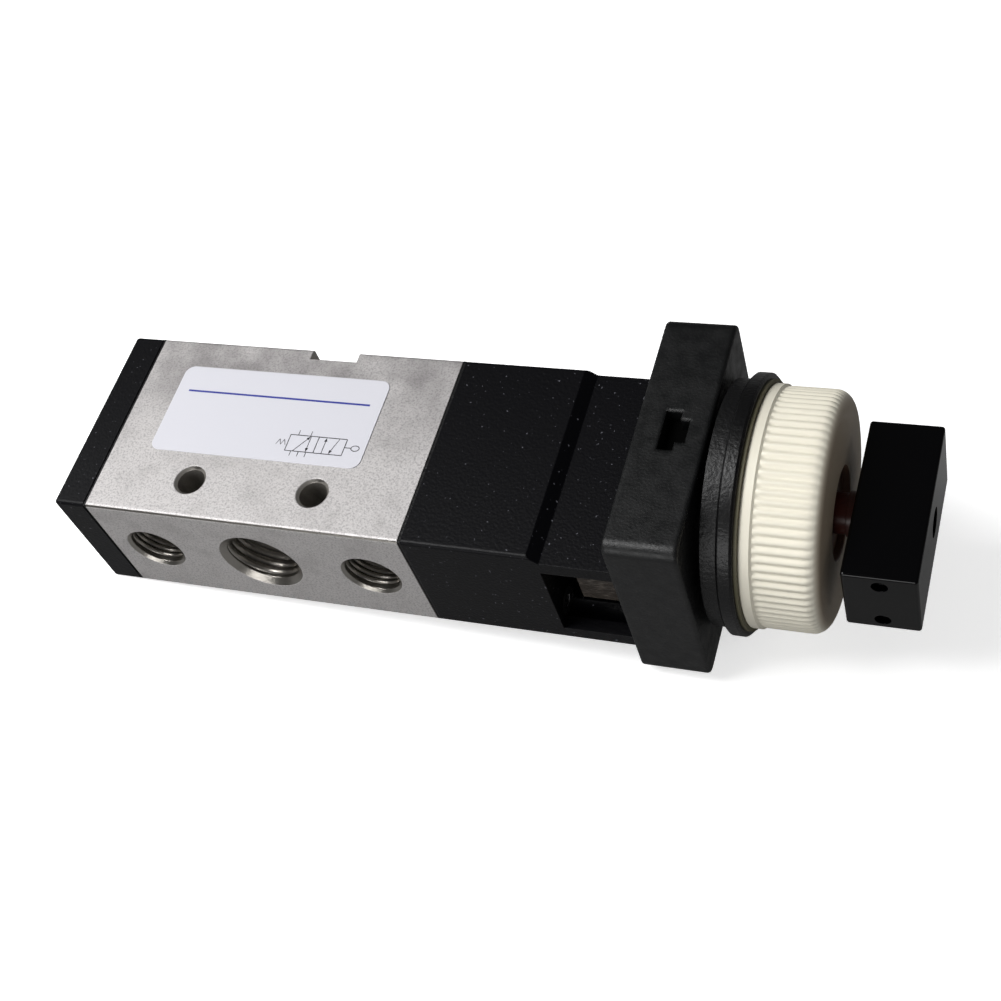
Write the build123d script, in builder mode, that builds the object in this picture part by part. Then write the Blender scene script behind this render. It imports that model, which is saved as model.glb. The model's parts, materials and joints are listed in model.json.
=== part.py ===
"""Panel-mount 5/2 hand lever air valve, in millimetres.

+X runs along the operator axis towards the lever, +Z is the label side, and the supply and
exhaust ports open to -Y. The origin is where the operator axis meets the panel seat, which is
the front face of the square head.
"""

import os
from math import pi

from build123d import *

os.makedirs("parts", exist_ok=True)

# ---------------------------------------------------------------- driving sizes
# Valve body block
body_length = 53.4
body_width = 33.5
body_height = 22.0
body_shift_y = -2.9            # centre of the block, to the side of the operator axis
body_edge_radius = 0.6
gallery_pitch = 9.5
gallery_width = 5.5
gallery_radius = 7.0
bore_radius = 5.8

# Ports
port_depth = 8.0
large_port_radius = 5.9        # G1/4 tapping size
large_port_rim_radius = 6.85
large_passage_radius = 2.7
small_port_radius = 4.4        # G1/8 tapping size
small_port_rim_radius = 4.9
small_passage_radius = 2.2

# Mounting holes through the block, for M4 bolts
mount_spacing = 21.2
mount_radius = 2.2
mount_rim_radius = 2.7
mount_edge_distance = 6.75     # from the port face

# Pocket in the far top edge
edge_pocket_length = 8.2
edge_pocket_width = 2.0
edge_pocket_depth = 3.0
edge_pocket_offset = 4.9       # from the middle port, towards the lever

# End cap, gaskets and their screws
cap_thickness = 5.4
gasket_thickness = 0.5
gasket_inset = 0.15
cap_floor = 1.5
cap_screw_y = 13.0
cap_screw_z = 7.0
cap_screw_radius = 1.5
cap_screw_length = 11.0
cap_head_radius = 2.75
cap_head_height = 1.7
cap_head_sink = 0.3

# Label
label_length = 36.6
label_width = 16.6
label_thickness = 0.12
label_corner_radius = 1.6
label_offset_x = -1.9          # from the middle port
label_offset_y = 3.2           # from the middle of the block

# Adapter between the body and the head
adapter_length = 31.3
adapter_step = 1.4             # the label side drops by this next to the head
adapter_step_length = 10.4
adapter_step_slope = 1.7
chamber_radius = 8.2
chamber_depth = 7.8
pilot_passage_radius = 1.0
cavity_length = 10.7
cavity_low = -8.3
cavity_high = 7.2
cavity_far_y = 7.0
spigot_radius = 9.6
spigot_bore_radius = 7.7
spigot_front = 2.8             # distance behind the panel seat
spigot_root = 2.1
spigot_bore_root = 5.0
adapter_screw_y = 13.0
adapter_screw_z = 6.6
adapter_screw_radius = 1.25
adapter_screw_depth = 6.2
adapter_head_radius = 2.2
adapter_head_height = 2.3

# Square head with its threaded neck
plate_thickness = 10.5
plate_width = 40.4
plate_height = 33.2
plate_corner_radius = 1.8
plate_edge_radius = 0.5
neck_radius = 12.5
neck_length = 15.0
neck_chamfer = 0.6
neck_core_outer = 10.6
neck_core_inner = 6.9
neck_core_depth = 11.5
neck_key_width = 3.0
neck_key_depth = 1.0
head_front_wall = 2.5
latch_slot_length = 2.3
latch_slot_width = 6.7
latch_tab_length = 1.4
latch_tab_width = 3.9
latch_slot_back = 6.6          # rear edge of the slot, behind the panel seat
latch_recess = 2.2
latch_bite = 0.6

# Clamp stack on the neck: gasket, bezel, washer and nut
panel_gap = 1.0
panel_gasket_thickness = 2.4
panel_gasket_radius = 18.0
bezel_thickness = 2.3
bezel_radius = 19.05
bezel_chamfer = 0.35
washer_thickness = 0.5
washer_radius = 18.2
nut_length = 10.7
nut_radius = 17.4
nut_flange_radius = 17.65
nut_flange_length = 1.8
nut_front_radius = 2.2
nut_front_wall = 1.8
nut_hole_radius = 3.6
nut_rib_count = 80
nut_rib_width = 0.7
nut_rib_depth = 0.4
thread_pitch = 1.5

# Lever
shaft_radius = 3.0
lever_gap = 2.5                # between the nut and the lever block
lever_thickness = 10.3
lever_length = 25.8
lever_offset_y = -1.0          # the block reaches a little further to the port side
lever_width = 13.0
lever_edge_radius = 0.45
end_recess_radius = 1.15
end_recess_depth = 1.2
end_recess_z = 4.3
knob_screw_radius = 1.5
knob_head_radius = 2.1
knob_head_height = 1.6
knob_head_sink = 1.0
shaft_engagement = 4.0

shaft_collar_radius = 3.35
shaft_collar_length = 1.4
knob_screw_engagement = 5.0
bush_radius = 5.0
bush_step = 0.6
drum_pin_radius = 0.75
drum_pin_half_length = 5.6

# Cam, pusher and pilot valve
lever_travel = 90.0            # degrees
push_stroke = 2.0
ramp_angle = 110.0             # degrees covered by each of the two ramps
ramp_outer = 7.2
ramp_inner = 4.2
cam_gap = 0.2
drum_radius = 7.4
drum_front = 3.1
drum_base = 3.0
drum_land = 0.4
follower_land = 0.45
follower_radius = 7.4
follower_rear = 13.0
key_width = 2.8
key_height = 0.9
follower_key_rear = 10.4
pusher_length = 5.8
pusher_near_y = -15.2
pusher_far_y = 6.2
pusher_half_height = 6.4
sleeve_radius = 4.0
sleeve_length = 10.4
sleeve_seat_wall = 4.1
sleeve_cage_radius = 3.0
poppet_stem_radius = 1.4
poppet_head_radius = 2.6
poppet_head_length = 1.8
pilot_spring_radius = 2.1
pilot_spring_wire = 0.3
pilot_spring_turns = 3

# Detent between the cam drum and the head
detent_ball_radius = 1.2
detent_ball_y = 8.2
detent_groove_gap = 0.3
detent_screw_radius = 2.0
detent_screw_y = plate_width / 2 - 6.0
detent_screw_sink = 0.6
detent_spring_radius = 0.8
detent_spring_wire = 0.22
detent_spring_turns = 4

# Spool and piston
spool_stroke = 3.2
spool_stem_radius = 2.9
spool_land_radius = 5.4
spool_land_length = 3.0
spool_guide_length = 2.0
spool_guide_step = 0.8
spool_reach = 0.2              # how far the spool stands out of the block
seal_bias = 0.6                # how far a shut seal sits off the middle of its land
return_spring_radius = 4.4
return_spring_wire = 0.4
return_spring_turns = 3
seal_width = 1.6
seal_seat_radius = 4.3
piston_thickness = 4.0
piston_seal_seat = 6.6
piston_nose_radius = 3.0

# O-rings and hexagon sockets
oring_half_width = 0.7
oring_depth = 0.75
socket_radius = 1.0
cap_socket_radius = 1.25
socket_depth = 1.2

# Length that a cutting tool runs past the face it starts from
overrun = 1.0

# Running and fitting clearances
running_gap = 0.05
seat_gap = 0.1
screw_gap = 0.05
free_gap = 0.3

# ---------------------------------------------------------------- stations along X
plate_back = -plate_thickness
adapter_face = plate_back - adapter_length
body_front = adapter_face - gasket_thickness
body_back = body_front - body_length
cap_face = body_back - gasket_thickness
cap_back = cap_face - cap_thickness
port_x = (body_front + body_back) / 2          # middle port
port_face_y = body_shift_y - body_width / 2    # R, P and S
far_face_y = body_shift_y + body_width / 2     # A and B
cavity_back = plate_back - cavity_length
gasket_x = panel_gap
bezel_x = gasket_x + panel_gasket_thickness
washer_x = bezel_x + bezel_thickness
nut_x = washer_x + washer_thickness
nut_front = nut_x + nut_length
detent_x = -(drum_front + drum_base / 2)
lever_back = nut_front + lever_gap
lever_front = lever_back + lever_thickness
gallery_x = [port_x + gallery_pitch * step for step in (-2, -1, 0, 1, 2)]
land_x = [port_x + gallery_pitch * (step + 0.5) for step in (-2, -1, 0, 1)]

spool_axis = Axis((0, body_shift_y, 0), (1, 0, 0))
spool_plane = Plane.XZ.offset(-body_shift_y)
port_plane = Plane.XZ.offset(-port_face_y)
far_plane = Plane(origin=(0, far_face_y, 0), x_dir=(1, 0, 0), z_dir=(0, 1, 0))


# ---------------------------------------------------------------- helpers
def across(x):
    """Plane square to the operator axis at x, with local x along Y and local y along Z."""
    return Plane.YZ.offset(x)


def block(x0, x1, y0, y1, z0, z1, mode=Mode.ADD):
    """Box between two corners, drawn on its rear face."""
    with BuildSketch(across(x0)) as outline:
        with Locations(((y0 + y1) / 2, (z0 + z1) / 2)):
            Rectangle(y1 - y0, z1 - z0)
    extrude(outline.sketch, amount=x1 - x0, mode=mode)


def rod(x0, x1, radius, y=0.0, z=0.0, mode=Mode.ADD):
    """Cylinder along X from x0 to x1."""
    with BuildSketch(across(x0)) as outline:
        with Locations((y, z)):
            Circle(radius)
    extrude(outline.sketch, amount=x1 - x0, mode=mode)


def post(x, y0, y1, radius, mode=Mode.ADD):
    """Cylinder along Y on the operator axis plane, at x."""
    with BuildSketch(Plane.XZ.offset(-y0)) as outline:
        with Locations((x, 0)):
            Circle(radius)
    extrude(outline.sketch, amount=-(y1 - y0), mode=mode)


def turned(points, plane=Plane.XZ, axis=Axis.X, mode=Mode.ADD):
    """Turned piece from (x, radius) points."""
    with BuildSketch(plane) as outline:
        with BuildLine():
            Polyline(*points, close=True)
        make_face()
    revolve(outline.sketch, axis=axis, mode=mode)


def ring(x0, x1, inner, outer, plane=Plane.XZ, axis=Axis.X, mode=Mode.ADD):
    """Plain ring about an axis along X."""
    turned([(x0, inner), (x1, inner), (x1, outer), (x0, outer)], plane, axis, mode)


def port(plane, x, radius, rim, passage):
    """Tapped port with a chamfered rim and a passage in to the spool bore."""
    for size, depth, slope in ((passage, body_width / 2, 0), (radius, port_depth, 0),
                               (rim, rim - radius, 45)):
        with BuildSketch(plane) as outline:
            with Locations((x, 0)):
                Circle(size)
        extrude(outline.sketch, amount=-depth, taper=slope, mode=Mode.SUBTRACT)


def coil(start, along, length, mean_radius, wire_radius, turns):
    """Compression spring from start, its wire kept inside length.

    The wire has a square section to keep its facets few.
    """
    rise = length - 2 * wire_radius
    first = Vector(*start) + Vector(*along) * wire_radius
    with BuildLine() as wire_path:
        Helix(rise / turns, rise, mean_radius, center=first, direction=along)
    with BuildSketch(Plane(wire_path.line @ 0, z_dir=wire_path.line % 0)) as outline:
        RegularPolygon(wire_radius, 4)
    sweep(outline.sketch, path=wire_path.line, is_frenet=True)


def finish(builder, name):
    """Label a finished piece and write its STEP file."""
    builder.part.label = name
    export_step(builder.part, f"parts/{name}.step")


# ---------------------------------------------------------------- valve body and end cap
cap_screw_places = [
    (body_shift_y - cap_screw_y, cap_screw_z),
    (body_shift_y + cap_screw_y, -cap_screw_z),
]
adapter_screw_places = [
    (body_shift_y - adapter_screw_y, -adapter_screw_z),
    (body_shift_y + adapter_screw_y, adapter_screw_z),
]
cap_head_seat = cap_back + cap_head_sink + cap_head_height
cap_screw_tip = cap_head_seat + cap_screw_length
adapter_head_seat = cavity_back - adapter_head_height - seat_gap
adapter_screw_tip = body_front - adapter_screw_depth

with BuildPart() as valve_body:
    block(body_back, body_front, port_face_y, far_face_y, -body_height / 2, body_height / 2)
    fillet(valve_body.edges().filter_by(Axis.X), body_edge_radius)
    rod(body_back, body_front, bore_radius, body_shift_y, mode=Mode.SUBTRACT)
    for x in gallery_x:
        rod(x - gallery_width / 2, x + gallery_width / 2, gallery_radius, body_shift_y,
            mode=Mode.SUBTRACT)
    port(port_plane, gallery_x[2], large_port_radius, large_port_rim_radius, large_passage_radius)
    for x in (gallery_x[0], gallery_x[4]):
        port(port_plane, x, small_port_radius, small_port_rim_radius, small_passage_radius)
    for x in (gallery_x[1], gallery_x[3]):
        port(far_plane, x, large_port_radius, large_port_rim_radius, large_passage_radius)
    mount_y = port_face_y + mount_edge_distance
    for top in (1, -1):
        with BuildSketch(Plane.XY.offset(top * body_height / 2)):
            with Locations((port_x, mount_y)):
                with GridLocations(mount_spacing, 1, 2, 1):
                    Circle(mount_rim_radius)
        extrude(amount=-top * (mount_rim_radius - mount_radius), taper=45, mode=Mode.SUBTRACT)
    with BuildSketch(Plane.XY.offset(-body_height / 2)):
        with Locations((port_x, mount_y)):
            with GridLocations(mount_spacing, 1, 2, 1):
                Circle(mount_radius)
    extrude(amount=body_height, mode=Mode.SUBTRACT)
    pocket_x = port_x + edge_pocket_offset
    block(pocket_x - edge_pocket_length / 2, pocket_x + edge_pocket_length / 2,
          far_face_y - edge_pocket_width, far_face_y + 1,
          body_height / 2 - edge_pocket_depth, body_height / 2 + 1, mode=Mode.SUBTRACT)
    for y, z in cap_screw_places:
        rod(body_back, cap_screw_tip + free_gap, cap_screw_radius + screw_gap, y, z, Mode.SUBTRACT)
    for y, z in adapter_screw_places:
        rod(body_front, adapter_screw_tip - free_gap, adapter_screw_radius + screw_gap, y, z,
            Mode.SUBTRACT)
finish(valve_body, "valve_body")

with BuildPart() as end_cap_gasket:
    block(cap_face, body_back, port_face_y + gasket_inset, far_face_y - gasket_inset,
          gasket_inset - body_height / 2, body_height / 2 - gasket_inset)
    rod(cap_face, body_back, bore_radius, body_shift_y, mode=Mode.SUBTRACT)
    for y, z in cap_screw_places:
        rod(cap_face, body_back, cap_screw_radius + screw_gap, y, z, Mode.SUBTRACT)
finish(end_cap_gasket, "end_cap_gasket")

with BuildPart() as end_cap:
    block(cap_back, cap_face, port_face_y, far_face_y, -body_height / 2, body_height / 2)
    fillet(end_cap.edges().filter_by(Axis.X), body_edge_radius)
    fillet(end_cap.faces().sort_by(Axis.X)[0].edges(), body_edge_radius)
    rod(cap_back + cap_floor, cap_face, bore_radius, body_shift_y, mode=Mode.SUBTRACT)
    for y, z in cap_screw_places:
        rod(cap_back, cap_face, cap_screw_radius + screw_gap, y, z, Mode.SUBTRACT)
        rod(cap_back, cap_head_seat, cap_head_radius + seat_gap, y, z, Mode.SUBTRACT)
finish(end_cap, "end_cap")

with BuildPart() as end_cap_screws:
    for y, z in cap_screw_places:
        rod(cap_head_seat, cap_screw_tip, cap_screw_radius, y, z)
        rod(cap_head_seat - cap_head_height, cap_head_seat, cap_head_radius, y, z)
        with BuildSketch(across(cap_head_seat - cap_head_height)):
            with Locations((y, z)):
                RegularPolygon(cap_socket_radius, 6, major_radius=False)
        extrude(amount=socket_depth, mode=Mode.SUBTRACT)
finish(end_cap_screws, "end_cap_screws")

with BuildPart() as label:
    with BuildSketch(Plane.XY.offset(body_height / 2)):
        with Locations((port_x + label_offset_x, body_shift_y + label_offset_y)):
            RectangleRounded(label_length, label_width, label_corner_radius)
    extrude(amount=label_thickness)
finish(label, "label")

# ---------------------------------------------------------------- spool, seals, piston, spring
# Seals one and three shut their lands at rest, and two and four shut theirs when it has shifted.
seal_x = [
    land_x[0] - seal_bias,
    land_x[1] + seal_bias + spool_stroke,
    land_x[2] - seal_bias,
    land_x[3] + seal_bias + spool_stroke,
    body_front - seal_width / 2 - seat_gap,
]
guide_front = gallery_x[0] - gallery_width / 2 - spool_guide_step
guide_back = guide_front - spool_guide_length
spool_end = body_front + spool_reach
piston_back = adapter_face + spool_stroke + free_gap
piston_front = piston_back + piston_thickness
chamber_front = adapter_face + chamber_depth

with BuildPart() as spool:
    rod(guide_back, spool_end, spool_stem_radius, body_shift_y)
    rod(guide_back, guide_front, spool_land_radius, body_shift_y)
    for x in seal_x[:4]:
        rod(x - spool_land_length / 2, x + spool_land_length / 2, spool_land_radius, body_shift_y)
    rod(seal_x[4] - spool_land_length / 2, spool_end, spool_land_radius, body_shift_y)
    for x in seal_x:
        ring(x - seal_width / 2, x + seal_width / 2, seal_seat_radius, spool_land_radius + 1,
             spool_plane, spool_axis, Mode.SUBTRACT)
finish(spool, "spool")

with BuildPart() as spool_seals:
    for x in seal_x:
        ring(x - seal_width / 2, x + seal_width / 2, seal_seat_radius, bore_radius - running_gap,
             spool_plane, spool_axis)
finish(spool_seals, "spool_seals")

with BuildPart() as return_spring:
    spring_foot = cap_back + cap_floor
    coil((spring_foot, body_shift_y, 0), (1, 0, 0), guide_back - spring_foot,
         return_spring_radius, return_spring_wire, return_spring_turns)
finish(return_spring, "return_spring")

with BuildPart() as drive_piston:
    rod(piston_back, piston_front, chamber_radius - running_gap - seat_gap, body_shift_y)
    rod(spool_end, piston_back, piston_nose_radius, body_shift_y)
    seal_mid = (piston_back + piston_front) / 2
    ring(seal_mid - seal_width / 2, seal_mid + seal_width / 2, piston_seal_seat,
         chamber_radius, spool_plane, spool_axis, Mode.SUBTRACT)
finish(drive_piston, "drive_piston")

with BuildPart() as piston_seal:
    ring(seal_mid - seal_width / 2, seal_mid + seal_width / 2, piston_seal_seat,
         chamber_radius - running_gap, spool_plane, spool_axis)
finish(piston_seal, "piston_seal")

# ---------------------------------------------------------------- adapter
with BuildPart() as adapter_gasket:
    block(body_front, adapter_face, port_face_y + gasket_inset, far_face_y - gasket_inset,
          gasket_inset - body_height / 2, body_height / 2 - gasket_inset)
    rod(body_front, adapter_face, bore_radius, body_shift_y, mode=Mode.SUBTRACT)
    for y, z in adapter_screw_places:
        rod(body_front, adapter_face, adapter_screw_radius + screw_gap, y, z, Mode.SUBTRACT)
finish(adapter_gasket, "adapter_gasket")

key_slot_width = key_width + 2 * seat_gap
key_slot_radius = follower_radius + key_height + seat_gap
latch_slot_front = latch_slot_back - latch_slot_length
sleeve_x = cavity_back - seat_gap - sleeve_length

with BuildPart() as adapter_housing:
    block(adapter_face, plate_back, port_face_y, far_face_y, -body_height / 2, body_height / 2)
    fillet(adapter_housing.edges().filter_by(Axis.X), body_edge_radius)
    with BuildSketch(Plane.XZ.offset(-far_face_y - 1)):
        with BuildLine():
            step_x = plate_back - adapter_step_length
            top = body_height / 2
            Polyline((step_x - adapter_step_slope, top), (step_x, top - adapter_step),
                     (plate_back, top - adapter_step), (plate_back, top + 1),
                     (step_x - adapter_step_slope, top + 1), close=True)
        make_face()
    extrude(amount=body_width + 2, mode=Mode.SUBTRACT)
    rod(adapter_face, chamber_front, chamber_radius, body_shift_y, mode=Mode.SUBTRACT)
    block(cavity_back, plate_back, port_face_y - 1, cavity_far_y, cavity_low, cavity_high,
          Mode.SUBTRACT)
    rod(plate_back - spigot_root, -spigot_front, spigot_radius)
    rod(plate_back - spigot_bore_root, -spigot_front, spigot_bore_radius, mode=Mode.SUBTRACT)
    block(plate_back - spigot_root, -spigot_front, -key_slot_width / 2, key_slot_width / 2,
          -key_slot_radius, key_slot_radius, Mode.SUBTRACT)
    rod(chamber_front, sleeve_x, pilot_passage_radius, mode=Mode.SUBTRACT)
    post(detent_x, spigot_bore_radius - 1, spigot_radius + 1, detent_ball_radius + running_gap,
         Mode.SUBTRACT)
    rod(sleeve_x, cavity_back, sleeve_radius + running_gap, mode=Mode.SUBTRACT)
    for y, z in adapter_screw_places:
        rod(adapter_face, cavity_back, adapter_screw_radius + screw_gap, y, z, Mode.SUBTRACT)
        rod(adapter_head_seat, plate_back, adapter_head_radius + seat_gap, y, z, Mode.SUBTRACT)
    for side in (1, -1):
        z0, z1 = sorted((side * (spigot_radius - latch_bite), side * (spigot_radius + 1)))
        block(-latch_slot_back, -latch_slot_front, -latch_slot_width / 2, latch_slot_width / 2,
              z0, z1, Mode.SUBTRACT)
finish(adapter_housing, "adapter_housing")

with BuildPart() as adapter_screws:
    for y, z in adapter_screw_places:
        rod(adapter_screw_tip, adapter_head_seat, adapter_screw_radius, y, z)
        rod(adapter_head_seat, adapter_head_seat + adapter_head_height, adapter_head_radius, y, z)
        with BuildSketch(across(adapter_head_seat + adapter_head_height)):
            with Locations((y, z)):
                RegularPolygon(socket_radius, 6, major_radius=False)
        extrude(amount=-socket_depth, mode=Mode.SUBTRACT)
finish(adapter_screws, "adapter_screws")

# ---------------------------------------------------------------- pilot valve in the adapter
pusher_back = -follower_rear - pusher_length
sleeve_seat_x = sleeve_x + sleeve_length - sleeve_seat_wall
poppet_face = sleeve_seat_x - seat_gap

with BuildPart() as pilot_sleeve:
    rod(sleeve_x, sleeve_x + sleeve_length, sleeve_radius)
    rod(sleeve_x, sleeve_seat_x, sleeve_cage_radius, mode=Mode.SUBTRACT)
    rod(sleeve_seat_x, sleeve_x + sleeve_length, poppet_stem_radius + running_gap,
        mode=Mode.SUBTRACT)
    oring_x = sleeve_seat_x + sleeve_seat_wall / 2
    ring(oring_x - oring_half_width, oring_x + oring_half_width, sleeve_radius - oring_depth,
         sleeve_radius + overrun, mode=Mode.SUBTRACT)
finish(pilot_sleeve, "pilot_sleeve")

with BuildPart() as pilot_oring:
    ring(oring_x - oring_half_width, oring_x + oring_half_width, sleeve_radius - oring_depth,
         sleeve_radius)
finish(pilot_oring, "pilot_oring")

with BuildPart() as pilot_poppet:
    rod(poppet_face - poppet_head_length, poppet_face, poppet_head_radius)
    rod(poppet_face, pusher_back - running_gap, poppet_stem_radius)
finish(pilot_poppet, "pilot_poppet")

with BuildPart() as pilot_spring:
    coil((sleeve_x, 0, 0), (1, 0, 0), poppet_face - poppet_head_length - sleeve_x,
         pilot_spring_radius, pilot_spring_wire, pilot_spring_turns)
finish(pilot_spring, "pilot_spring")

# ---------------------------------------------------------------- pusher and helical cam
ramp_lead = push_stroke / lever_travel * 360.0
ramp_start = drum_front + drum_base + drum_land     # the drum ramps begin this far back
ramp_rise = ramp_lead * ramp_angle / 360.0
drum_back = -(drum_front + drum_base)
follower_base = -(ramp_start + ramp_rise + follower_land)


def ramp(shallow_x, side, start_angle):
    """Helical cam ramp with its face falling back from shallow_x, solid to one side of it.

    Side is 1 for material towards the lever and -1 for material away from it. The section is
    carried by a true screw motion, so the drum and follower faces are congruent helicoids.
    """
    height = 2 * ramp_rise + drum_base
    with BuildLine() as spiral:
        Helix(ramp_lead, ramp_rise, (ramp_inner + ramp_outer) / 2, center=(shallow_x, 0, 0),
              direction=(-1, 0, 0))
    path = spiral.line.rotate(Axis.X, start_angle)
    foot = path @ 0
    outward = Vector(0, foot.Y, foot.Z).normalized()
    section = Plane(origin=foot, x_dir=outward, z_dir=outward.cross(Vector(1, 0, 0)))
    with BuildSketch(section) as outline:
        with Locations((0, side * height / 2)):
            Rectangle(ramp_outer - ramp_inner, height)
    sweep(outline.sketch, path=path, is_frenet=True)


with BuildPart() as cam_drum:
    for start_angle in (0, 180):
        ramp(-ramp_start, 1, start_angle)
    rod(drum_back, drum_back + 4 * ramp_rise, 2 * drum_radius, mode=Mode.SUBTRACT)
    rod(drum_back, -drum_front, drum_radius)
    rod(drum_back, -drum_front, shaft_radius, mode=Mode.SUBTRACT)
    post(detent_x, -drum_radius, drum_radius, drum_pin_radius, Mode.SUBTRACT)
    groove_floor = detent_ball_y - (detent_ball_radius + detent_groove_gap) * 2**0.5
    groove_reach = drum_radius + 1 - groove_floor
    turned([(detent_x - groove_reach, drum_radius + 1), (detent_x, groove_floor),
            (detent_x + groove_reach, drum_radius + 1)], mode=Mode.SUBTRACT)
finish(cam_drum, "cam_drum")

with BuildPart() as cam_follower:
    for start_angle in (0, 180):
        ramp(-ramp_start - cam_gap, -1, start_angle)
    rod(follower_base - 4 * ramp_rise, follower_base, 2 * drum_radius, mode=Mode.SUBTRACT)
    rod(-follower_rear, follower_base, follower_radius)
    key_reach = follower_radius + key_height
    block(-follower_key_rear, follower_base, -key_width / 2, key_width / 2, -key_reach, key_reach)
    rod(-follower_rear, follower_base, shaft_radius + free_gap, mode=Mode.SUBTRACT)
finish(cam_follower, "cam_follower")

with BuildPart() as pusher_block:
    block(pusher_back, -follower_rear, pusher_near_y, pusher_far_y, -pusher_half_height,
          pusher_half_height)
    fillet(pusher_block.edges().filter_by(Axis.X), body_edge_radius)
finish(pusher_block, "pusher_block")

# ---------------------------------------------------------------- lever shaft and its bearing
bush_back = -spigot_front + seat_gap + bush_step
bush_front = neck_length - head_front_wall - seat_gap
shaft_end = lever_back + shaft_engagement
shaft_oring_x = bush_front - 2.0

with BuildPart() as lever_shaft:
    rod(drum_back, shaft_end, shaft_radius)
    rod(lever_back - shaft_collar_length, lever_back, shaft_collar_radius)
    ring(shaft_oring_x - oring_half_width, shaft_oring_x + oring_half_width,
         shaft_radius - oring_depth, shaft_radius + overrun, mode=Mode.SUBTRACT)
    post(detent_x, -shaft_radius - 1, shaft_radius + 1, drum_pin_radius, Mode.SUBTRACT)
    rod(shaft_end - knob_screw_engagement - free_gap, shaft_end, knob_screw_radius,
        mode=Mode.SUBTRACT)
finish(lever_shaft, "lever_shaft")

with BuildPart() as shaft_oring:
    ring(shaft_oring_x - oring_half_width, shaft_oring_x + oring_half_width,
         shaft_radius - oring_depth, shaft_radius)
finish(shaft_oring, "shaft_oring")

with BuildPart() as drum_pin:
    post(detent_x, -drum_pin_half_length, drum_pin_half_length, drum_pin_radius)
finish(drum_pin, "drum_pin")

with BuildPart() as shaft_bush:
    ring(bush_back, bush_front, shaft_radius + running_gap, bush_radius)
finish(shaft_bush, "shaft_bush")

# ---------------------------------------------------------------- square head with its neck
pocket_radius = spigot_radius + running_gap
pocket_floor = -spigot_front + seat_gap

with BuildPart() as head_housing:
    with BuildSketch(across(plate_back)):
        RectangleRounded(plate_width, plate_height, plate_corner_radius)
    extrude(amount=plate_thickness)
    fillet(head_housing.faces().filter_by(Axis.X).edges(), plate_edge_radius)
    rod(-overrun, neck_length, neck_radius)
    chamfer(head_housing.faces().sort_by(Axis.X)[-1].edges(), neck_chamfer)
    rod(plate_back, pocket_floor, pocket_radius, mode=Mode.SUBTRACT)
    rod(pocket_floor, bush_back, shaft_radius + free_gap, mode=Mode.SUBTRACT)
    rod(bush_back, bush_front, bush_radius, mode=Mode.SUBTRACT)
    rod(bush_front, neck_length, shaft_radius + free_gap, mode=Mode.SUBTRACT)
    ring(neck_length - neck_core_depth, neck_length, neck_core_inner, neck_core_outer,
         mode=Mode.SUBTRACT)
    block(0, neck_length, -neck_radius - 1, -neck_radius + neck_key_depth, -neck_key_width / 2,
          neck_key_width / 2, Mode.SUBTRACT)
    for side in (1, -1):
        for x0, x1, half in ((-latch_slot_back, -latch_slot_front, latch_slot_width / 2),
                             (-latch_slot_front, latch_tab_length - latch_slot_front,
                              latch_tab_width / 2)):
            z0, z1 = sorted((side * (pocket_radius - 1), side * plate_height / 2))
            block(x0, x1, -half, half, z0, z1, Mode.SUBTRACT)
    post(detent_x, pocket_radius - 1, detent_screw_y, detent_ball_radius + running_gap,
         Mode.SUBTRACT)
    post(detent_x, detent_screw_y, plate_width / 2, detent_screw_radius + screw_gap,
         Mode.SUBTRACT)
finish(head_housing, "head_housing")

with BuildPart() as latch_keys:
    for side in (1, -1):
        for x0, x1, half, foot in (
            (-latch_slot_back, -latch_slot_front, latch_slot_width / 2,
             spigot_radius - latch_bite + seat_gap),
            (-latch_slot_front - 2 * seat_gap, latch_tab_length - latch_slot_front,
             latch_tab_width / 2, pocket_radius + seat_gap),
        ):
            z0, z1 = sorted((side * foot, side * (plate_height / 2 - latch_recess)))
            block(x0 + seat_gap, x1 - seat_gap, seat_gap - half, half - seat_gap, z0, z1)
finish(latch_keys, "latch_keys")

with BuildPart() as detent_ball:
    with Locations((detent_x, detent_ball_y, 0)):
        Sphere(detent_ball_radius)
finish(detent_ball, "detent_ball")

with BuildPart() as detent_spring:
    spring_start = detent_ball_y + detent_ball_radius
    coil((detent_x, spring_start, 0), (0, 1, 0), detent_screw_y - spring_start,
         detent_spring_radius, detent_spring_wire, detent_spring_turns)
finish(detent_spring, "detent_spring")

with BuildPart() as detent_screw:
    detent_screw_end = plate_width / 2 - detent_screw_sink
    post(detent_x, detent_screw_y, detent_screw_end, detent_screw_radius)
    with BuildSketch(Plane.XZ.offset(-detent_screw_end)) as socket:
        with Locations((detent_x, 0)):
            RegularPolygon(socket_radius, 6, major_radius=False)
    extrude(socket.sketch, amount=socket_depth, mode=Mode.SUBTRACT)
finish(detent_screw, "detent_screw")

# ---------------------------------------------------------------- clamp stack on the neck
stack_bore = neck_radius + seat_gap

with BuildPart() as panel_gasket:
    ring(gasket_x, bezel_x, stack_bore, panel_gasket_radius)
    block(gasket_x, bezel_x, -stack_bore - 1, -neck_radius + neck_key_depth - 2 * seat_gap,
          seat_gap - neck_key_width / 2, neck_key_width / 2 - seat_gap)
finish(panel_gasket, "panel_gasket")

with BuildPart() as bezel_ring:
    ring(bezel_x, washer_x, stack_bore, bezel_radius)
    chamfer(bezel_ring.edges().filter_by(GeomType.CIRCLE).sort_by(SortBy.RADIUS)[-2:],
            bezel_chamfer)
finish(bezel_ring, "bezel_ring")

with BuildPart() as nut_washer:
    ring(washer_x, nut_x, stack_bore, washer_radius)
finish(nut_washer, "nut_washer")

rib_start = nut_x + nut_flange_length
rib_end = nut_front - nut_front_radius

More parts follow.
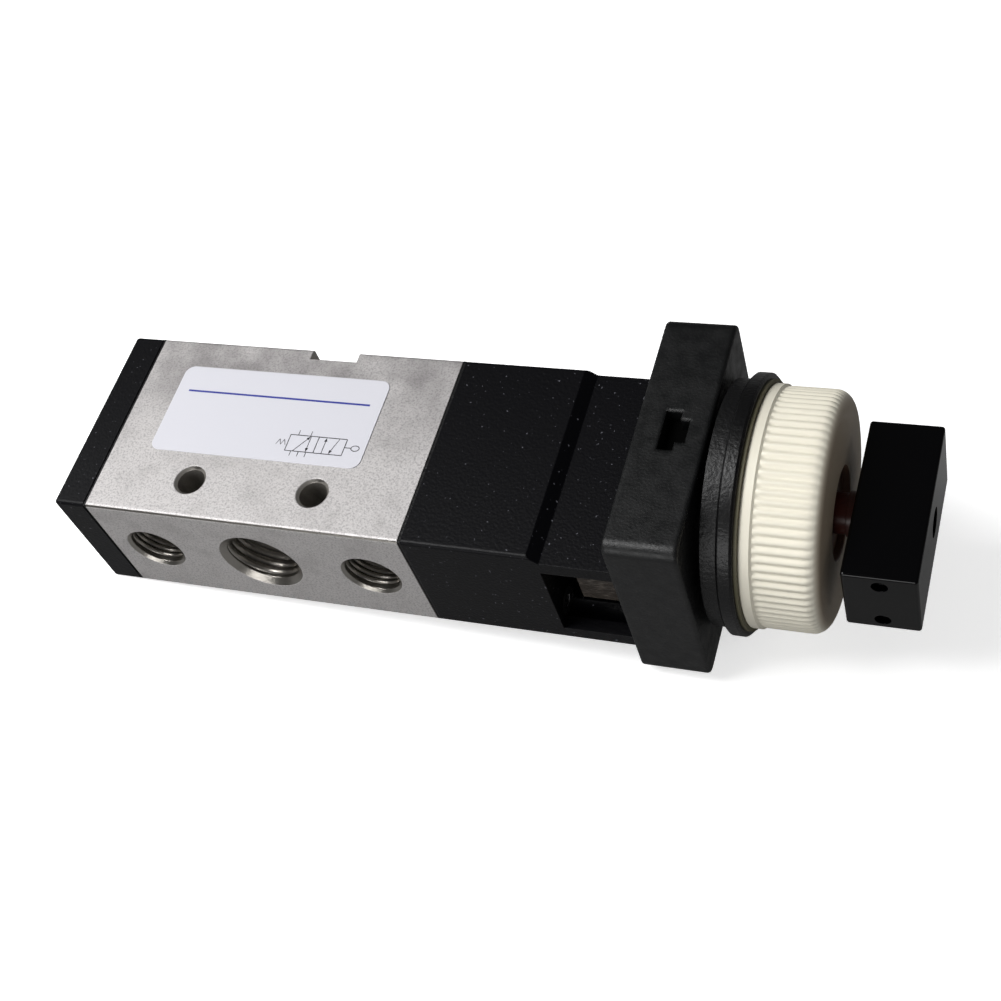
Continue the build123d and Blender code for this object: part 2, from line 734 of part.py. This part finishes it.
with BuildPart() as clamp_nut:
    rod(nut_x, nut_front, nut_radius - nut_rib_depth)
    fillet(clamp_nut.edges().filter_by(GeomType.CIRCLE).sort_by(Axis.X)[-1], nut_front_radius)
    rod(nut_x, rib_start, nut_flange_radius)
    with BuildSketch(across(rib_start)) as ribs:
        with PolarLocations(nut_radius - nut_rib_depth, nut_rib_count):
            Rectangle(2 * nut_rib_depth, nut_rib_width)
    extrude(ribs.sketch, amount=rib_end - rib_start)
    rod(nut_x, nut_front - nut_front_wall, stack_bore, mode=Mode.SUBTRACT)
    rod(nut_x, nut_front, nut_hole_radius, mode=Mode.SUBTRACT)
finish(clamp_nut, "clamp_nut")

# ---------------------------------------------------------------- lever block
with BuildPart() as lever_knob:
    block(lever_back, lever_front, lever_offset_y - lever_length / 2,
          lever_offset_y + lever_length / 2, -lever_width / 2, lever_width / 2)
    fillet(lever_knob.edges(), lever_edge_radius)
    rod(lever_back, shaft_end, shaft_radius, mode=Mode.SUBTRACT)
    rod(shaft_end, lever_front, knob_screw_radius + screw_gap, mode=Mode.SUBTRACT)
    knob_seat = lever_front - knob_head_sink - knob_head_height
    rod(knob_seat, lever_front, knob_head_radius + seat_gap, mode=Mode.SUBTRACT)
    for end in (1, -1):
        with BuildSketch(Plane.XZ.offset(-lever_offset_y - end * lever_length / 2)) as recess:
            for z in (end_recess_z, -end_recess_z):
                with Locations(((lever_back + lever_front) / 2, z)):
                    Circle(end_recess_radius)
        extrude(recess.sketch, amount=end * end_recess_depth, mode=Mode.SUBTRACT)
finish(lever_knob, "lever_knob")

with BuildPart() as knob_screw:
    rod(shaft_end - knob_screw_engagement, knob_seat, knob_screw_radius)
    rod(knob_seat, knob_seat + knob_head_height, knob_head_radius)
    with BuildSketch(across(knob_seat + knob_head_height)) as socket:
        RegularPolygon(socket_radius, 6, major_radius=False)
    extrude(socket.sketch, amount=-socket_depth, mode=Mode.SUBTRACT)
finish(knob_screw, "knob_screw")
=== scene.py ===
"""Looks for the hand lever air valve: materials, port threads, label print, floor and lights."""

import json
import math

import bmesh
import bpy
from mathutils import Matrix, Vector


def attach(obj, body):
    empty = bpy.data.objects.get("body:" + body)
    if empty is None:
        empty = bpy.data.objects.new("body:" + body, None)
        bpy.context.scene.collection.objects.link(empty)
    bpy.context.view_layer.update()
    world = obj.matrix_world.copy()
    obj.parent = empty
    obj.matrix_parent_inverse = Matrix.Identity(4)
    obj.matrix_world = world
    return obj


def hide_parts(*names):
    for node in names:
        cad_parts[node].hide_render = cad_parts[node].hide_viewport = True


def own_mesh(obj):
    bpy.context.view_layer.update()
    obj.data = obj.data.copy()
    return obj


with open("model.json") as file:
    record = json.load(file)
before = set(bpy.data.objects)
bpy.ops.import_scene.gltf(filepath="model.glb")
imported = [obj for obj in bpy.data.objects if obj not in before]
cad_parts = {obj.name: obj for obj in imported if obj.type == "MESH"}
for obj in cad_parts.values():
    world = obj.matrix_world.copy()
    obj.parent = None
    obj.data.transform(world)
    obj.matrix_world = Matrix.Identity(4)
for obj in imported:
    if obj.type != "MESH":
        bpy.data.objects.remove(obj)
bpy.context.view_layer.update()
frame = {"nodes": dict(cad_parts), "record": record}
nodes = frame["nodes"]

MM = 0.001


# ---------------------------------------------------------------- materials
def linear(rgb):
    """Display values 0..255 as linear colour."""
    out = []
    for v in rgb:
        v = v / 255
        out.append(v / 12.92 if v <= 0.04045 else ((v + 0.055) / 1.055) ** 2.4)
    return (*out, 1.0)


class Shader:
    """A Principled material built from nodes in object coordinates."""

    def __init__(self, name, rgb, rough, metal=0.0, coat=0.0, specular=0.5):
        self.material = bpy.data.materials.new(name)
        self.material.use_nodes = True
        self.nodes = self.material.node_tree.nodes
        self.links = self.material.node_tree.links
        self.base = self.nodes["Principled BSDF"]
        self.rgb = linear(rgb)
        self.base.inputs["Base Color"].default_value = self.rgb
        self.base.inputs["Roughness"].default_value = rough
        self.base.inputs["Metallic"].default_value = metal
        self.base.inputs["Coat Weight"].default_value = coat
        self.base.inputs["Coat Roughness"].default_value = 0.08
        self.base.inputs["Specular IOR Level"].default_value = specular
        self.where = self.nodes.new("ShaderNodeTexCoord").outputs["Object"]
        self.normal = None

    def noise(self, scale, detail=2.0, stretch=None):
        """Noise of that many cells per metre."""
        texture = self.nodes.new("ShaderNodeTexNoise")
        texture.inputs["Scale"].default_value = scale
        texture.inputs["Detail"].default_value = detail
        source = self.where
        if stretch:
            mapping = self.nodes.new("ShaderNodeMapping")
            mapping.inputs["Scale"].default_value = stretch
            self.links.new(source, mapping.inputs["Vector"])
            source = mapping.outputs["Vector"]
        self.links.new(source, texture.inputs["Vector"])
        return texture.outputs["Fac"]

    def ramp(self, value, low, high, out_low=0.0, out_high=1.0):
        """Maps value from low..high to out_low..out_high, clamped."""
        node = self.nodes.new("ShaderNodeMapRange")
        node.clamp = True
        ends = (("From Min", low), ("From Max", high), ("To Min", out_low), ("To Max", out_high))
        for name, number in ends:
            node.inputs[name].default_value = number
        self.links.new(value, node.inputs["Value"])
        return node.outputs["Result"]

    def tint(self, value, rgb):
        """Mixes the base colour towards rgb by value."""
        mix = self.nodes.new("ShaderNodeMix")
        mix.data_type = "RGBA"
        colours = [s for s in mix.inputs if s.type == "RGBA"]
        factor = [s for s in mix.inputs if s.type == "VALUE"][0]
        socket = self.base.inputs["Base Color"]
        if socket.is_linked:
            self.links.new(socket.links[0].from_socket, colours[0])
        else:
            colours[0].default_value = self.rgb
        colours[1].default_value = linear(rgb)
        self.links.new(value, factor)
        result = [s for s in mix.outputs if s.type == "RGBA"][0]
        self.links.new(result, socket)
        return self

    def axis(self, letter):
        """One object coordinate, in metres."""
        split = self.nodes.new("ShaderNodeSeparateXYZ")
        self.links.new(self.where, split.inputs["Vector"])
        return split.outputs[letter]

    def maths(self, kind, a, b):
        """One Math node; a and b are sockets or plain numbers."""
        node = self.nodes.new("ShaderNodeMath")
        node.operation = kind
        for socket, value in zip(node.inputs, (a, b)):
            if isinstance(value, (int, float)):
                socket.default_value = value
            else:
                self.links.new(value, socket)
        return node.outputs["Value"]

    def times(self, a, b):
        """The product of a and b."""
        return self.maths("MULTIPLY", a, b)

    def within(self, low_mm, high_mm):
        """1 inside a box in object coordinates and 0 outside; None leaves an axis free."""
        mask = None
        for letter, low, high in zip("XYZ", low_mm, high_mm):
            if low is None:
                continue
            place = self.axis(letter)
            above = self.maths("GREATER_THAN", place, low * MM)
            below = self.maths("LESS_THAN", place, high * MM)
            span = self.times(above, below)
            mask = span if mask is None else self.times(mask, span)
        return mask

    def drive(self, socket, value):
        """Lets value set one of the shader's own inputs."""
        self.links.new(value, self.base.inputs[socket])

    def bevel(self, radius_mm):
        """Rounds the shading of sharp edges."""
        node = self.nodes.new("ShaderNodeBevel")
        node.samples = 6
        node.inputs["Radius"].default_value = radius_mm * MM
        self._stack(node, "Normal")
        return self

    def bump(self, value, depth_mm, strength=1.0):
        """Surface relief from value."""
        node = self.nodes.new("ShaderNodeBump")
        node.inputs["Strength"].default_value = strength
        node.inputs["Distance"].default_value = depth_mm * MM
        self.links.new(value, node.inputs["Height"])
        self._stack(node, "Normal")
        return self

    def _stack(self, node, output):
        if self.normal is not None and "Normal" in node.inputs:
            self.links.new(self.normal, node.inputs["Normal"])
        self.normal = node.outputs[output]
        self.links.new(self.normal, self.base.inputs["Normal"])


def blasted_aluminium():
    """Bead blasted outside, bright machined metal in the ports and holes, with painted shade on
    the port and hole walls and towards the far side.
    """
    s = Shader("body_silver", (199, 196, 195), 0.5, metal=0.35)
    s.bevel(0.2)
    s.bump(s.noise(2600, 3.0), 0.05, 0.55)
    inside = s.within((None, -19.6, -10.9), (None, 13.8, 10.9))
    bolt_holes = s.within((-82.3, -15.2, -10.9), (-55.7, -10.6, 10.9))
    bored = s.maths("SUBTRACT", inside, s.times(bolt_holes, 0.55))
    s.tint(s.ramp(s.noise(3200, 1.0), 0.45, 0.7, 0.0, 0.6), (140, 137, 138))
    s.tint(s.ramp(s.noise(220, 5.0), 0.5, 0.75, 0.0, 0.35), (140, 137, 136))
    # Painted shade: the metal is tinted mottled darker towards the far (+Y) side, standing in for
    # the shade that falls there.
    painted_far_shade = s.ramp(s.axis("Y"), -0.006, 0.012, 0.0, 0.75)
    s.tint(s.times(painted_far_shade, s.ramp(s.noise(120, 5.0), 0.3, 0.6)), (112, 108, 109))
    # Painted shade: the port and hole walls are tinted darker for the shade inside them; the
    # higher metallic and lower roughness below are the machined finish.
    s.tint(inside, (158, 154, 148))
    s.drive("Metallic", s.ramp(bored, 0.0, 1.0, 0.35, 1.0))
    s.drive("Roughness", s.ramp(inside, 0.0, 1.0, 0.5, 0.3))
    return s.material


def grained_black(name, rgb, rough, depth=0.05, scale=2200, specks=0.0, specular=0.35):
    """Moulded black plastic with a fine grain, and a few light specks."""
    s = Shader(name, rgb, rough, specular=specular)
    s.bevel(0.2)
    s.bump(s.noise(scale, 2.0), depth, 0.7)
    if specks:
        s.tint(s.ramp(s.noise(1900, 1.0), 0.72, 0.8, 0.0, specks), (120, 120, 128))
    return s.material


def charcoal():
    """Smooth dark plastic of the head, with a slightly uneven gloss."""
    s = Shader("head_charcoal", (9, 10, 11), 0.4, specular=0.4)
    s.bevel(0.8)
    s.bump(s.noise(2400, 2.0), 0.05, 0.7)
    s.drive("Roughness", s.ramp(s.noise(500, 2.0), 0.3, 0.7, 0.36, 0.5))
    return s.material


def pusher_plastic():
    """Dark plastic with a rough, scratched face."""
    s = Shader("pusher_dark", (62, 56, 51), 0.4)
    s.bevel(0.2)
    s.bump(s.noise(700, 4.0, stretch=(1.0, 1.0, 2.5)), 0.25, 0.9)
    s.tint(s.ramp(s.noise(900, 3.0, stretch=(1.0, 1.0, 3.0)), 0.5, 0.7, 0.0, 0.6), (120, 112, 104))
    return s.material


def nut_plastic():
    """Ivory plastic with painted shade: a tan painted shadow on its front face and a darker brown
    painted shade in the recess round the shaft.
    """
    s = Shader("nut_ivory", (238, 233, 216), 0.48)
    s.bump(s.noise(1500, 2.0), 0.01, 0.3)
    # Painted shadow: the front face is tinted tan where the knob's shadow falls.
    s.tint(s.ramp(s.axis("X"), 16.1 * MM, 16.9 * MM, 0.0, 0.75), (172, 148, 120))
    # Painted shade: the recess round the shaft is tinted dark brown.
    s.tint(s.within((15.0, -6.9, -6.9), (16.8, 6.9, 6.9)), (128, 92, 70))
    return s.material


def plain(name, rgb, rough, metal=0.0, coat=0.0, bevel=0.15, specular=0.5):
    s = Shader(name, rgb, rough, metal=metal, coat=coat, specular=specular)
    s.bevel(bevel)
    s.bump(s.noise(1500, 2.0), 0.01, 0.3)
    return s.material


looks = {
    "body_silver": blasted_aluminium(),
    "body_black": grained_black("body_black", (4, 4, 7), 0.42, 0.06, specks=0.6, specular=0.16),
    "head_charcoal": charcoal(),
    "gasket_rubber": grained_black("gasket_rubber", (12, 12, 13), 0.45, 0.16, 1700),
    "bezel_black": grained_black("bezel_black", (8, 8, 9), 0.36, 0.1, 1900),
    "washer_olive": plain("washer_olive", (92, 88, 66), 0.6),
    "nut_ivory": nut_plastic(),
    "knob_black": plain("knob_black", (2, 2, 3), 0.12, coat=0.2, bevel=0.12, specular=0.2),
    "shaft_brown": plain("shaft_brown", (70, 24, 14), 0.3),
    "label_film": plain("label_film", (212, 212, 219), 0.35),
    "steel": plain("steel", (150, 150, 152), 0.3, metal=1.0),
    "brass": plain("brass", (190, 150, 84), 0.3, metal=1.0),
    "spool_alloy": plain("spool_alloy", (205, 205, 207), 0.3, metal=1.0),
    "cam_plastic": plain("cam_plastic", (208, 206, 196), 0.5),
}

node_slot = {row["node"]: row["material_slot"] for row in frame["record"]["subparts"]}
for name, thing in nodes.items():
    thing.data.materials.clear()
    thing.data.materials.append(looks[node_slot[name]])
nodes["pusher_block"].data.materials[0] = pusher_plastic()
# Painted shade: the latch keys are made flat black and unreflecting so that their slots read as
# dark shade.
nodes["latch_keys"].data.materials[0] = Shader("key_black_painted_shade", (2, 2, 2), 0.9, specular=0.05).material


# ---------------------------------------------------------------- made pieces
def piece(name, bm, slot, body, smooth=False):
    """Turns bm into a piece that rides on body."""
    bmesh.ops.recalc_face_normals(bm, faces=bm.faces)
    mesh = bpy.data.meshes.new(name)
    bm.to_mesh(mesh)
    bm.free()
    thing = bpy.data.objects.new(name, mesh)
    bpy.context.scene.collection.objects.link(thing)
    for face in mesh.polygons:
        face.use_smooth = smooth
    material = looks[slot] if isinstance(slot, str) else slot
    mesh.materials.append(material)
    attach(thing, body)
    return thing


def port_thread(name, x, y_face, inward, wall, depth, pitch):
    """Helical thread ridge standing in from the wall of a port."""
    steps = 40
    turns = (depth - 1.2) / pitch
    ridge = pitch * 0.45
    half_width = pitch * 0.46
    bm = bmesh.new()
    rows = []
    for i in range(int(turns * steps) + 1):
        angle = 2 * math.pi * i / steps
        along = 1.1 + pitch * i / steps
        row = []
        root = wall + 0.01
        for radius, shift in ((root, -half_width), (wall - ridge, 0.0), (root, half_width)):
            row.append(
                bm.verts.new(
                    (
                        (x + radius * math.cos(angle)) * MM,
                        (y_face + inward * (along + shift)) * MM,
                        radius * math.sin(angle) * MM,
                    )
                )
            )
        rows.append(row)
    for a, b in zip(rows, rows[1:]):
        for k in range(2):
            bm.faces.new((a[k], a[k + 1], b[k + 1], b[k]))
    return piece(name, bm, "body_silver", "valve", smooth=True)


def ribbed_nut():
    """The clamp nut with its soft ribs, which run out over the rounded front edge."""
    ribs, steps = 80, 12
    back, front = 6.2, 16.9
    flange, crest, depth = 17.65, 17.4, 0.34
    bore = 12.62
    hole = 3.6
    outline = [(back, bore), (back, flange - 0.2), (back + 0.2, flange), (back + 1.5, flange)]
    outline += [(back + 1.8, crest - 0.1), (back + 2.2, crest - 0.02)]
    outline += [(x / 10, crest) for x in range(88, 147, 6)]
    rounding = 2.2
    for i in range(1, 11):
        angle = math.pi / 2 * i / 10
        x = front - rounding + rounding * math.sin(angle)
        outline.append((x, crest - rounding * (1 - math.cos(angle))))
    recess = 6.8
    outline += [(front, 11.0), (front, recess + 0.2), (front - 0.2, recess), (front - 1.2, recess)]
    outline += [(front - 1.2, hole), (front - 1.8, hole), (front - 1.8, bore)]
    bm = bmesh.new()
    rows = []
    for x, radius in outline:
        fade = min(1.0, max(0.0, (x - 8.0) / 0.5)) * min(1.0, max(0.0, (front - 0.35 - x) / 1.6))
        row = []
        for k in range(ribs * steps):
            angle = 2 * math.pi * k / (ribs * steps)
            valley = (0.5 - 0.5 * math.cos(ribs * angle)) ** 1.3 if radius > 14 else 0.0
            r = radius - depth * fade * valley
            row.append(bm.verts.new((x * MM, r * math.cos(angle) * MM, r * math.sin(angle) * MM)))
        rows.append(row)
    rows.append(rows[0])
    for a, b in zip(rows, rows[1:]):
        for k in range(len(a)):
            j = (k + 1) % len(a)
            bm.faces.new((a[k], a[j], b[j], b[k]))
    made = piece("nut_skin", bm, "nut_ivory", "nut", smooth=True)
    made.data.set_sharp_from_angle(angle=math.radians(38))
    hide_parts("clamp_nut")
    return made


def coil_spring(name, node, start, end, y, radius, wire, turns):
    """Round-wire spring along X, built once at one fixed length, that takes the place of node."""
    around, steps = 8, 36
    count = turns * steps
    rise = end - start - 2 * wire
    bm = bmesh.new()
    rows = []
    for i in range(count + 1):
        angle = 2 * math.pi * i / steps
        x = start + wire + rise * i / count
        row = []
        for k in range(around):
            turn = 2 * math.pi * k / around
            r = radius + wire * math.cos(turn)
            row.append(
                bm.verts.new(
                    (
                        (x + wire * math.sin(turn)) * MM,
                        (y + r * math.cos(angle)) * MM,
                        r * math.sin(angle) * MM,
                    )
                )
            )
        rows.append(row)
    for a, b in zip(rows, rows[1:]):
        for k in range(around):
            j = (k + 1) % around
            bm.faces.new((a[k], a[j], b[j], b[k]))
    bm.faces.new(rows[0])
    bm.faces.new(rows[-1])
    made = piece(name, bm, "steel", "valve", smooth=True)
    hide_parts(node)
    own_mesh(made)
    return made


ribbed_nut()
coil_spring("return_coil", "return_spring", -100.1, -93.55, -2.9, 4.4, 0.35, 3)
coil_spring("pilot_coil", "pilot_spring", -31.7, -27.3, 0.0, 2.1, 0.25, 3)

PORT_FACE = -19.65
FAR_FACE = 13.85
THREAD_DEPTH = 8.0
for name, x, face, inward, wall, pitch in (
    ("thread_R", -88.0, PORT_FACE, 1, 4.4, 0.907),
    ("thread_P", -69.0, PORT_FACE, 1, 5.9, 1.337),
    ("thread_S", -50.0, PORT_FACE, 1, 4.4, 0.907),
    ("thread_A", -78.5, FAR_FACE, -1, 5.9, 1.337),
    ("thread_B", -59.5, FAR_FACE, -1, 5.9, 1.337),
):
    port_thread(name, x, face, inward, wall, THREAD_DEPTH, pitch)


# ---------------------------------------------------------------- label print
LABEL_TOP = 11.12
ink_blue = Shader("ink_blue", (52, 60, 150), 0.4).material
ink_black = Shader("ink_black", (38, 38, 44), 0.4).material


class Print:
    """Flat print on the label, gathered into one mesh."""

    def __init__(self, name, material):
        self.name = name
        self.material = material
        self.bm = bmesh.new()

    def fill(self, points):
        verts = [self.bm.verts.new((x * MM, y * MM, (LABEL_TOP + 0.012) * MM)) for x, y in points]
        self.bm.faces.new(verts)

    def line(self, x0, y0, x1, y1, width):
        dx, dy = x1 - x0, y1 - y0
        length = math.hypot(dx, dy)
        nx, ny = -dy / length * width / 2, dx / length * width / 2
        self.fill([(x0 + nx, y0 + ny), (x1 + nx, y1 + ny), (x1 - nx, y1 - ny), (x0 - nx, y0 - ny)])

    def path(self, points, width, closed=False):
        pairs = list(zip(points, points[1:])) + ([(points[-1], points[0])] if closed else [])
        for (x0, y0), (x1, y1) in pairs:
            self.line(x0, y0, x1, y1, width)

    def arrow(self, x0, y0, x1, y1, width, head):
        self.line(x0, y0, x1, y1, width)
        angle = math.atan2(y1 - y0, x1 - x0)
        tip = (x1, y1)
        left = (x1 - head * math.cos(angle - 0.4), y1 - head * math.sin(angle - 0.4))
        right = (x1 - head * math.cos(angle + 0.4), y1 - head * math.sin(angle + 0.4))
        self.fill([tip, left, right])

    def done(self):
        return piece(self.name, self.bm, self.material, "valve")


rule = Print("label_rule", ink_blue)
rule.line(-87.0, 3.75, -54.7, 3.75, 0.35)
rule.done()

# The generic symbol of a 5/2 valve: two squares, a spring on the left and a lever on the right.
symbol = Print("label_symbol", ink_black)
LEFT, MID, RIGHT, LOW, TOP = -65.8, -60.9, -56.1, -5.9, -2.9
CENTRE = (LOW + TOP) / 2
FRAME_PEN, ARROW_PEN, SPRING_PEN = 0.14, 0.12, 0.1
ARROW_HEAD = 0.7
PORT_STUB = 0.9
symbol.path([(LEFT, LOW), (RIGHT, LOW), (RIGHT, TOP), (LEFT, TOP)], FRAME_PEN, closed=True)
symbol.line(MID, LOW, MID, TOP, FRAME_PEN)
wide = RIGHT - MID
for start in (LEFT, MID):
    crossed = start == LEFT
    first, second = start + wide * 0.28, start + wide * 0.72
    up_end = second if crossed else first
    down_end = second + 0.1 if crossed else first + 1.2
    symbol.arrow(first, LOW, up_end, TOP - 0.1, ARROW_PEN, ARROW_HEAD)
    symbol.arrow(second + 0.1, TOP, down_end, LOW + 0.1, ARROW_PEN, ARROW_HEAD)
symbol.line(RIGHT, CENTRE, RIGHT + 1.1, CENTRE, FRAME_PEN)
ring = []
for corner in range(12):
    angle = corner * math.pi / 6
    ring.append((RIGHT + 1.8 + 0.7 * math.cos(angle), CENTRE + 0.5 * math.sin(angle)))
symbol.path(ring, FRAME_PEN, closed=True)
zigzag = [(LEFT - 0.3 - 0.4 * i, CENTRE + (0.5 if i % 2 else -0.5)) for i in range(5)]
symbol.path(zigzag, SPRING_PEN)
for x in (-64.5, -62.4):
    symbol.line(x, TOP, x, TOP + PORT_STUB, ARROW_PEN)
for x in (-64.7, -63.4, -62.1):
    symbol.line(x, LOW, x, LOW - PORT_STUB, ARROW_PEN)
symbol.done()

# ---------------------------------------------------------------- floor
# The part rests on its end cap and on the back edge of its bezel: X and Z of each, in mm.
FOOT_BACK = (-101.6, -11.0)
FOOT_FRONT = (3.4, -19.05)
FLOOR_GAP = 0.06
tilt = math.atan2(FOOT_BACK[1] - FOOT_FRONT[1], FOOT_FRONT[0] - FOOT_BACK[0])
bm = bmesh.new()
half = 0.8
verts = [bm.verts.new((x * half, y * half, 0)) for x, y in ((-1, -1), (1, -1), (1, 1), (-1, 1))]
bm.faces.new(verts)
mesh = bpy.data.meshes.new("floor")
bm.to_mesh(mesh)
bm.free()
floor = bpy.data.objects.new("floor", mesh)
bpy.context.scene.collection.objects.link(floor)
floor.rotation_euler = (0, tilt, 0)
middle = ((FOOT_BACK[0] + FOOT_FRONT[0]) / 2, (FOOT_BACK[1] + FOOT_FRONT[1]) / 2)
floor.location = (middle[0] * MM, 0, (middle[1] - FLOOR_GAP) * MM)
floor_look = Shader("floor_white", (246, 246, 246), 0.9)
floor_look.base.inputs["Emission Color"].default_value = (1, 1, 1, 1)
mesh.materials.append(floor_look.material)
bounce = floor_look.nodes.new("ShaderNodeLightPath")
glow = floor_look.ramp(bounce.outputs["Is Glossy Ray"], 0.0, 1.0, 0.6, 0.05)
floor_look.drive("Emission Strength", glow)
floor_look.tint(bounce.outputs["Is Glossy Ray"], (120, 120, 120))
floor.visible_diffuse = False

# ---------------------------------------------------------------- world and lights
world = bpy.data.worlds.new("studio")
bpy.context.scene.world = world
world.use_nodes = True
wn, wl = world.node_tree.nodes, world.node_tree.links
wn.clear()
out = wn.new("ShaderNodeOutputWorld")
mix = wn.new("ShaderNodeMixShader")
seen = wn.new("ShaderNodeBackground")
light = wn.new("ShaderNodeBackground")
rays = wn.new("ShaderNodeLightPath")
seen.inputs["Color"].default_value = (1, 1, 1, 1)
seen.inputs["Strength"].default_value = 1.0
dim = wn.new("ShaderNodeMapRange")
dim.inputs["To Min"].default_value = 1.0
dim.inputs["To Max"].default_value = 0.35
wl.new(rays.outputs["Is Glossy Ray"], dim.inputs["Value"])
wl.new(dim.outputs["Result"], light.inputs["Strength"])
heading = wn.new("ShaderNodeTexCoord")
split = wn.new("ShaderNodeSeparateXYZ")
height = wn.new("ShaderNodeMapRange")
height.inputs["From Min"].default_value = -0.4
height.inputs["From Max"].default_value = 0.9
height.inputs["To Min"].default_value = 0.07
height.inputs["To Max"].default_value = 0.22
wl.new(heading.outputs["Generated"], split.inputs["Vector"])
wl.new(split.outputs["Z"], height.inputs["Value"])
wl.new(height.outputs["Result"], light.inputs["Color"])
wl.new(rays.outputs["Is Camera Ray"], mix.inputs["Fac"])
wl.new(light.outputs["Background"], mix.inputs[1])
wl.new(seen.outputs["Background"], mix.inputs[2])
wl.new(mix.outputs["Shader"], out.inputs["Surface"])


def area(name, place_mm, aim_mm, size_mm, watts, colour=(1, 1, 1)):
    lamp = bpy.data.lights.new(name, "AREA")
    lamp.shape = "RECTANGLE"
    lamp.size, lamp.size_y = size_mm[0] * MM, size_mm[1] * MM
    lamp.energy = watts
    lamp.color = colour
    thing = bpy.data.objects.new(name, lamp)
    bpy.context.scene.collection.objects.link(thing)
    place, aim = Vector(place_mm) * MM, Vector(aim_mm) * MM
    thing.location = place
    thing.rotation_euler = (aim - place).to_track_quat("-Z", "Y").to_euler()
    return thing


area("key_above", (-230, -60, 410), (-35, 0, 0), (240, 240), 1.9)
area("fill_front", (-60, -430, 120), (-35, 0, 0), (300, 160), 0.62)
area("edge_left", (-360, 40, 220), (-40, 0, 0), (140, 200), 0.2)

# ---------------------------------------------------------------- camera
camera = bpy.data.cameras.new("camera")
camera.sensor_width = 36.0
camera.lens = 56.915
view = bpy.data.objects.new("camera", camera)
bpy.context.scene.collection.objects.link(view)
view.location = (0.052371, -0.122507, 0.189593)
view.rotation_euler = (0.615672, 0.250192, 0.291789)
camera.clip_start, camera.clip_end = 0.01, 10.0
bpy.context.scene.camera = view

bpy.context.scene.view_settings.view_transform = "Standard"
bpy.context.scene.view_settings.look = "None"
bpy.context.scene.view_settings.exposure = 0.0
bpy.context.scene.view_settings.gamma = 1.0
